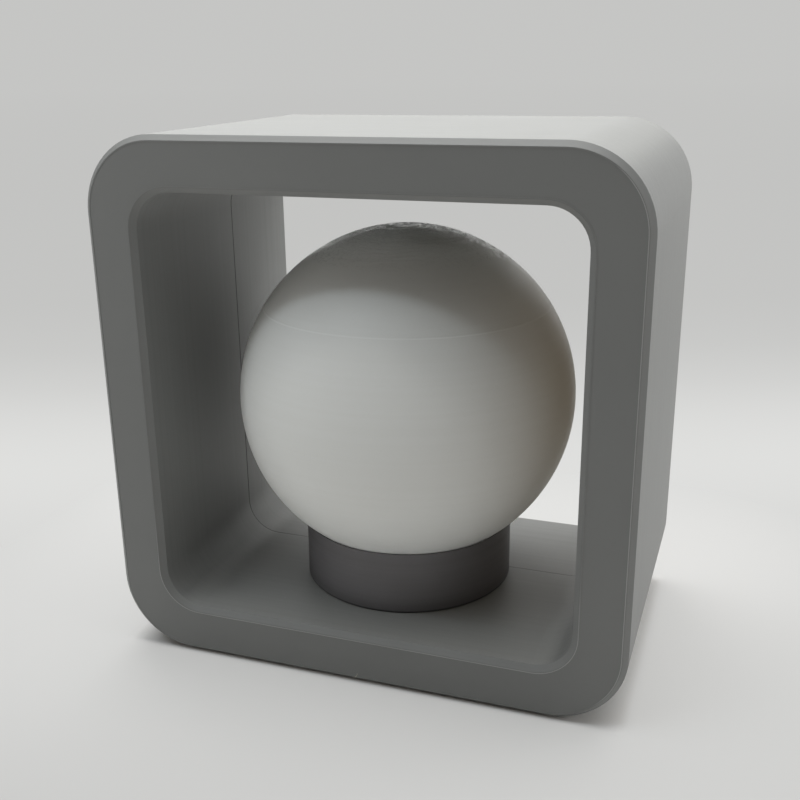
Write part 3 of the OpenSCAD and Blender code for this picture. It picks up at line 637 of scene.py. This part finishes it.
def globe_outline():
    """The globe as printed: terraced layers on the crown that fade into the smooth wall, and a fine ring."""
    low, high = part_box("globe")
    radius = (high.x - low.x) / 2
    middle = high.z - radius

    def ball(height):
        return math.sqrt(max(radius * radius - (height - middle) ** 2, 0.0))

    start = middle - math.sqrt(radius ** 2 - NECK_REACH ** 2)
    turn_low = math.asin((start - middle) / radius)
    turn_high = math.asin((high.z - LAYER * TERRACES - middle) / radius)
    wall = []
    for row in range(BALL_ROWS):
        height = middle + radius * math.sin(turn_low + (turn_high - turn_low) * row / BALL_ROWS)
        if abs(height - RING_HEIGHT) > RING_HALF:
            wall.append((ball(height), height, 0.0))
    for lift, share in RING_SECTION:
        height = RING_HEIGHT + lift * RING_HALF
        wall.append((ball(height) + share * RING_REACH, height, 0.0))
    wall.sort(key=lambda row: row[1])

    outline = [(MOUTH_REACH, low.z, 0.0), (NECK_REACH - NECK_EDGE, low.z, 0.0),
               (NECK_REACH, low.z + NECK_EDGE, 0.0), *wall]
    for number in reversed(range(TERRACES)):
        depth = LAYER * number + FIRST_EDGE
        edge = math.sqrt(2 * radius * depth - depth ** 2)
        strength = min(1.0, (TERRACES - number) / (TERRACES - SHARP_TERRACES))
        for drop, inset in TERRACE_SECTION:
            height = high.z - LAYER * (number + drop)
            reach = ball(height)
            outline.append((reach + (edge - inset * LAYER - reach) * strength, height, 1.0))
    outline.append((0.0, high.z, 0.0))

    inner = radius - GLOBE_WALL
    mouth_turn = -math.acos(MOUTH_REACH / inner)
    for row in range(LINING_ROWS + 1):
        turn = math.pi / 2 + (mouth_turn - math.pi / 2) * row / LINING_ROWS
        outline.append((inner * math.cos(turn) if row else 0.0, middle + inner * math.sin(turn), 0.0))
    return outline


def layer_edge_wobble(turn, height):
    swing = Vector((math.cos(turn) * WOBBLE_SWINGS, math.sin(turn) * WOBBLE_SWINGS,
                    height / MM * WOBBLE_LAYER_STEP))
    return noise.noise(swing) * WOBBLE_LONG + noise.noise(swing * WOBBLE_SHORTER) * WOBBLE_SHORT


def make_globe():
    points, faces = turned(globe_outline(), GLOBE_SIDES, layer_edge_wobble)
    globe = add_piece("globe_printed", points, faces, "globe_opal", "globe")
    globe.data.shade_smooth()
    globe.data.set_sharp_from_angle(angle=SHARP_EDGE)
    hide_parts("globe")


STRAND_SIDES = 10
# A strand's ends are this share of its radius.
STRAND_TIP = 0.35


def strand(name, path, radius, slot, body, closed=False):
    """A round strand along a path, tapered to its ends unless it is closed."""
    count = len(path)
    points, rings, side = [], [], None
    for number, spot in enumerate(path):
        before = path[(number - 1) % count] if closed or number else spot
        after = path[(number + 1) % count] if closed or number < count - 1 else spot
        heading = (after - before).normalized()
        # Each ring follows the one before with as little twist as it can.
        across = heading.orthogonal() if side is None else side - heading * side.dot(heading)
        side = across.normalized()
        other = heading.cross(side)
        end = number in (0, count - 1) and not closed
        rings.append(len(points))
        for step in range(STRAND_SIDES):
            turn = FULL_TURN * step / STRAND_SIDES
            reach = radius * (STRAND_TIP if end else 1.0)
            points.append(spot + (side * math.cos(turn) + other * math.sin(turn)) * reach)
    faces = []
    for low, high in zip(rings, rings[1:] + rings[:1] if closed else rings[1:]):
        for step in range(STRAND_SIDES):
            after = (step + 1) % STRAND_SIDES
            faces.append((low + step, low + after, high + after, high + step))
    if not closed:
        faces.append(tuple(reversed(range(rings[0], rings[0] + STRAND_SIDES))))
        faces.append(tuple(range(rings[-1], rings[-1] + STRAND_SIDES)))
    piece = add_piece(name, points, faces, slot, body)
    piece.data.shade_smooth()


# The rocker at rest, in millimetres: its pivot, half its length, and how far its face stands off the pivot
ROCKER_PIVOT = (-18.0, 61.4, 10.4)
ROCKER_TILT = math.radians(8)
ROCKER_HALF = 5.4
ROCKER_MIDDLE_RISE = 2.6
ROCKER_END_RISE = 3.4
# Its marks, in millimetres: how far from its middle, half their height, and their strand's radius
MARK_PLACE = 3.1
MARK_HALF = 1.3
MARK_RADIUS = 0.24
BAR_SHARES = (-1.0, -0.9, 0.0, 0.9, 1.0)
RING_MARK_WIDTH = 0.8
RING_MARK_STEPS = 40


def on_rocker(along, up):
    """A place on the face of the resting rocker, from millimetres along it and up it."""
    rise = ROCKER_MIDDLE_RISE + (ROCKER_END_RISE - ROCKER_MIDDLE_RISE) * abs(along) / ROCKER_HALF
    swing, lift = math.sin(ROCKER_TILT), math.cos(ROCKER_TILT)
    x, y, z = ROCKER_PIVOT
    return Vector((x + along * lift + rise * swing, y - along * swing + rise * lift, z + up)) * MM


def make_rocker_marks():
    """A raised bar at one end of the rocker and a raised ring at the other."""
    bar = [on_rocker(MARK_PLACE, MARK_HALF * share) for share in BAR_SHARES]
    strand("rocker_mark_on", bar, MARK_RADIUS * MM, "header_cream", "rocker")
    ring = []
    for step in range(RING_MARK_STEPS):
        turn = FULL_TURN * step / RING_MARK_STEPS
        ring.append(on_rocker(-MARK_PLACE + MARK_HALF * RING_MARK_WIDTH * math.cos(turn),
                              MARK_HALF * math.sin(turn)))
    strand("rocker_mark_off", ring, MARK_RADIUS * MM, "header_cream", "rocker", closed=True)


# A fine hair that lies on the front face's lower edge, in millimetres
HAIR_PATH = ((0.4, -62.10, 4.2), (0.3, -62.16, 3.5), (0.0, -62.13, 2.9),
             (-0.6, -62.15, 2.2), (-1.0, -62.12, 1.8))
HAIR_RADIUS = 0.07


def make_hair():
    strand("hair", [Vector(spot) * MM for spot in HAIR_PATH], HAIR_RADIUS * MM, "header_cream", "lamp")


# Stage: floor, world, light panels and camera

PALE_TINT = (1.0, 1.002, 0.985)
BACKDROP_TONE = rgb(PALE_TINT, 0.560)
WORLD_TONE = rgb((0.01, 0.01, 0.01))

FLOOR_HALF = 60.0
FLOOR_ALBEDO = (0.82, 0.81, 0.79)
FLOOR_ROUGHNESS = 0.8
FLOOR_GLOSS = 0.2
# The way in which the floor's painted light changes, and its levels at distances that way from the lamp's
# middle, darker in front of the lamp and brightest a little behind it
FLOOR_GRADIENT = (-0.342, 0.940, 0.0)
FLOOR_LIGHT_LEVELS = ((-0.15, 0.590), (-0.07, 0.610), (0.00, 0.660), (0.10, 0.720), (0.17, 0.750),
               (0.25, 0.700), (0.32, 0.640), (0.42, 0.580), (0.60, 0.552), (1.50, 0.545))
# The floor's own shade gives way to that tone between these distances from a rectangle under the lamp.
SHADE_HALF = (0.098, 0.060, 0.0)
SHADE_FADE = (0.0, 0.11)
# Share of that tone at the rectangle's edge, outside the dark line of contact
SHADE_START = 0.50
CONTACT_WIDTH = 3.5 * MM
# Between these distances the floor's tone becomes the backdrop's.
FAR_FADE = (1.5, 8.0)


def sight_only(tree):
    """1 for what the camera sees directly, in a reflection or through glass."""
    path = put(tree, "ShaderNodeLightPath").outputs
    seen = greater_of(tree, path["Is Camera Ray"], path["Is Glossy Ray"])
    return greater_of(tree, seen, path["Is Transmission Ray"])


def painted_floor_light(tree, place, away):
    """The floor's gradient of painted light, which becomes the backdrop's tone far away."""
    near_end, far_end = FLOOR_LIGHT_LEVELS[0][0], FLOOR_LIGHT_LEVELS[-1][0]
    along = vector_calc(tree, "DOT_PRODUCT", place, FLOOR_GRADIENT)
    ramp = put(tree, "ShaderNodeValToRGB", {0: between(tree, along, near_end, far_end)})
    ramp.color_ramp.interpolation = "B_SPLINE"
    stops = ramp.color_ramp.elements
    while len(stops) < len(FLOOR_LIGHT_LEVELS):
        stops.new(0.5)
    for stop, (distance, level) in zip(stops, FLOOR_LIGHT_LEVELS):
        stop.position = (distance - near_end) / (far_end - near_end)
        stop.color = rgb(PALE_TINT, level)
    return mix(tree, between(tree, away, *FAR_FADE), ramp.outputs[0], BACKDROP_TONE)


def make_floor():
    """A pale floor with a soft gradient of painted light, which takes the lamp's real shade near the lamp."""
    paint = bpy.data.materials.new("floor_paint")
    paint.use_nodes = True
    tree = paint.node_tree
    shader = tree.nodes["Principled BSDF"]
    shader.inputs["Base Color"].default_value = rgb(FLOOR_ALBEDO)
    shader.inputs["Roughness"].default_value = FLOOR_ROUGHNESS
    shader.inputs["Specular IOR Level"].default_value = FLOOR_GLOSS
    place = put(tree, "ShaderNodeNewGeometry").outputs["Position"]
    off = vector_calc(tree, "SUBTRACT", vector_calc(tree, "ABSOLUTE", place), SHADE_HALF)
    away = vector_calc(tree, "LENGTH", vector_calc(tree, "MAXIMUM", off, (0.0, 0.0, 0.0)))
    glow = put(tree, "ShaderNodeEmission", {"Color": painted_floor_light(tree, place, away), "Strength": 1.0})
    share = times(tree, between(tree, away, *SHADE_FADE, SHADE_START, 1.0),
                  between(tree, away, 0.0, CONTACT_WIDTH))
    blend = put(tree, "ShaderNodeMixShader",
                {0: times(tree, sight_only(tree), share), 1: shader.outputs[0], 2: glow.outputs[0]})
    feed(tree, tree.nodes["Material Output"].inputs["Surface"], blend.outputs[0])
    corners = [(x * FLOOR_HALF, y * FLOOR_HALF, 0.0) for x, y in ((-1, -1), (1, -1), (1, 1), (-1, 1))]
    mesh = bpy.data.meshes.new("floor")
    mesh.from_pydata(corners, [], [(0, 1, 2, 3)])
    mesh.materials.append(paint)
    floor = bpy.data.objects.new("floor", mesh)
    bpy.context.scene.collection.objects.link(floor)


def make_world():
    """A nearly dark room whose pale backdrop only sight and reflections meet."""
    world = bpy.data.worlds.new("tent")
    world.use_nodes = True
    tree = world.node_tree
    tone = mix(tree, sight_only(tree), WORLD_TONE, BACKDROP_TONE)
    feed(tree, tree.nodes["Background"].inputs["Color"], tone)
    bpy.context.scene.world = world


LAMP_MIDDLE = (0.0, 0.0, 0.10)
COOL = (0.89, 1.0, 1.08)
PLAIN = (1.0, 1.0, 1.0)
BROWN = (1.45, 1.0, 0.52)
# The card beside the globe stands for light that the window's wall throws back.
WALL_CARD = "wall_card"
# Each light panel: its place, the point it faces, its width and height, its radiance and its tint
PANELS = {
    "strip_near_left": ((-0.45, -0.237, 0.50), (-0.45, -0.062, 0.181), (0.30, 0.015), 6.3, COOL),
    "ceiling_front_left": ((-0.40, -0.41, 0.90), (-0.40, -0.41, 0.0), (0.40, 0.09), 7.0, COOL),
    "ceiling_front": ((0.0, -0.41, 0.90), (0.0, -0.41, 0.0), (0.40, 0.09), 1.5, COOL),
    "ceiling_middle": ((0.0, -0.27, 0.90), (0.0, -0.27, 0.0), (0.40, 0.18), 1.0, COOL),
    "overhead": ((0.0, -0.02, 0.90), (0.0, -0.02, 0.0), (0.60, 0.30), 3.6, PLAIN),
    "high_front_left": ((-0.30, -0.25, 0.90), LAMP_MIDDLE, (0.60, 0.60), 0.93, PLAIN),
    "high_front_right": ((0.30, -0.25, 0.90), LAMP_MIDDLE, (0.60, 0.60), 0.20, PLAIN),
    "high_back_left": ((-0.30, 0.35, 0.90), LAMP_MIDDLE, (0.60, 0.60), 4.2, PLAIN),
    "high_back_right": ((0.30, 0.35, 0.90), LAMP_MIDDLE, (0.60, 0.60), 2.8, PLAIN),
    "high_right": ((0.75, 0.0, 0.75), LAMP_MIDDLE, (0.70, 0.60), 0.5, PLAIN),
    "right_back": ((0.90, 0.35, 0.30), LAMP_MIDDLE, (0.70, 0.60), 2.2, PLAIN),
    "back_left": ((-0.40, 0.95, 0.30), LAMP_MIDDLE, (0.80, 0.60), 0.73, PLAIN),
    "back_right": ((0.40, 0.95, 0.30), LAMP_MIDDLE, (0.80, 0.60), 0.38, PLAIN),
    "back_middle": ((-0.10, 1.20, 0.35), LAMP_MIDDLE, (0.50, 0.50), 0.25, PLAIN),
    "near_left": ((-0.45, -0.36, 0.25), (0.0, -0.03, 0.10), (0.30, 0.20), 1.35, PLAIN),
    "front_high": ((0.0, -1.0, 0.80), LAMP_MIDDLE, (0.80, 0.50), 0.10, BROWN),
    WALL_CARD: ((0.080, -0.005, 0.100), (0.0, -0.005, 0.100), (0.12, 0.15), 0.040, BROWN),
}


def make_panels():
    for name, (place, aim, (width, height), radiance, tint) in PANELS.items():
        lamp = bpy.data.lights.new(name, "AREA")
        lamp.shape = "RECTANGLE"
        lamp.size, lamp.size_y = width, height
        # A flat panel sends out radiance times pi times its area.
        lamp.energy = radiance * math.pi * width * height
        lamp.color = tint
        holder = bpy.data.objects.new(name, lamp)
        toward = (Vector(aim) - Vector(place)).normalized()
        facing = toward.to_track_quat("-Z", "Y").to_matrix().to_4x4()
        holder.matrix_world = Matrix.Translation(place) @ facing
        holder.visible_camera = False
        holder.visible_glossy = name != WALL_CARD
        bpy.context.scene.collection.objects.link(holder)


CAMERA_PLACE = (0.13213, -0.38005, 0.22569)
CAMERA_YAW = 0.349542
CAMERA_PITCH = -0.326467
CAMERA_ROLL = -0.013944
# Millimetres
CAMERA_LENS = 47.207
CAMERA_SENSOR = 36.0
CAMERA_SHIFT = (0.00875, 0.01185)
CAMERA_CLIP = (0.01, 200.0)


def make_camera():
    """The photograph's viewpoint."""
    right = Vector((math.cos(CAMERA_YAW), math.sin(CAMERA_YAW), 0.0))
    level = Vector((-math.sin(CAMERA_YAW), math.cos(CAMERA_YAW), 0.0))
    forward = level * math.cos(CAMERA_PITCH) + Vector((0.0, 0.0, math.sin(CAMERA_PITCH)))
    up = right.cross(forward)
    side = right * math.cos(CAMERA_ROLL) + up * math.sin(CAMERA_ROLL)
    top = up * math.cos(CAMERA_ROLL) - right * math.sin(CAMERA_ROLL)
    lens = bpy.data.cameras.new("camera")
    lens.lens = CAMERA_LENS
    lens.sensor_width = CAMERA_SENSOR
    lens.shift_x, lens.shift_y = CAMERA_SHIFT
    lens.clip_start, lens.clip_end = CAMERA_CLIP
    camera = bpy.data.objects.new("camera", lens)
    turn = Matrix((side, top, -forward)).transposed().to_4x4()
    camera.matrix_world = Matrix.Translation(CAMERA_PLACE) @ turn
    bpy.context.scene.collection.objects.link(camera)
    bpy.context.scene.camera = camera


make_camera()
dress_nodes()
make_globe()
make_rocker_marks()
make_hair()
make_floor()
make_world()
make_panels()
bpy.context.scene.view_settings.view_transform = "Standard"
